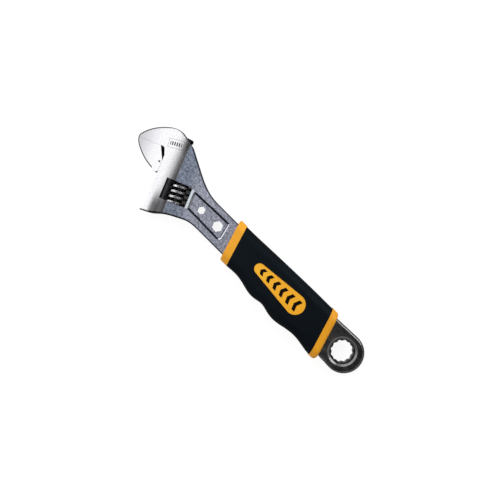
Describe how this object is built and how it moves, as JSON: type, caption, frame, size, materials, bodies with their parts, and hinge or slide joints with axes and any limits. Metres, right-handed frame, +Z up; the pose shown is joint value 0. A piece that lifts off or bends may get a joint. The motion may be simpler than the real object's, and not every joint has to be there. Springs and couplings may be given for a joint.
{
  "type": "adjustable wrench",
  "caption": "Adjustable wrench with a worm-driven sliding jaw, hex holes in the pocketed neck, a twelve-point ring end and a two-colour moulded grip with finger waves.",
  "frame": {"origin": "centre of the twelve-point ring hole, on the forging's mid plane", "axes": "+X up the handle towards the jaws, +Y towards the side the moving jaw is on, +Z up when the tool lies flat"},
  "size_m": [0.2507, 0.0677, 0.02],
  "materials": {
    "forged_chrome": "polished jaw and slide housing, blasted satin web and neck, dark polished ring end",
    "jaw_chrome": "polished with faint grinding lines",
    "worm_black": "black oxide, knurled crests",
    "pin_steel": "turned",
    "spring_steel": "drawn wire",
    "core_yellow": "moulded, satin",
    "sleeve_black": "soft-touch, fine texture",
    "badge_yellow": "satin, printed with dark marks"
  },
  "bodies": {
    "handle": {"wrench_body": "forged_chrome", "worm_pin": "pin_steel", "worm_spring": "spring_steel", "grip_core": "core_yellow", "grip_sleeve": "sleeve_black", "front_badge": "badge_yellow", "back_badge": "badge_yellow"},
    "jaw": {"moving_jaw": "jaw_chrome"},
    "worm": {"worm": "worm_black"}
  },
  "joints": [
    {"name": "jaw_slide", "type": "slide", "parent": "handle", "child": "jaw", "axis": [-0.3827, 0.9239, 0], "range_m": [0, 0.03]},
    {"name": "worm_spin", "type": "hinge", "parent": "handle", "child": "worm", "pos_m": [0.17795, 0.00353, 0], "axis": [0.3827, -0.9239, 0], "range_deg": [0, 2483]}
  ],
  "couplings": [
    {"joint": "worm_spin", "follows": "jaw_slide", "rad_per_m": 1444.4}
  ]
}
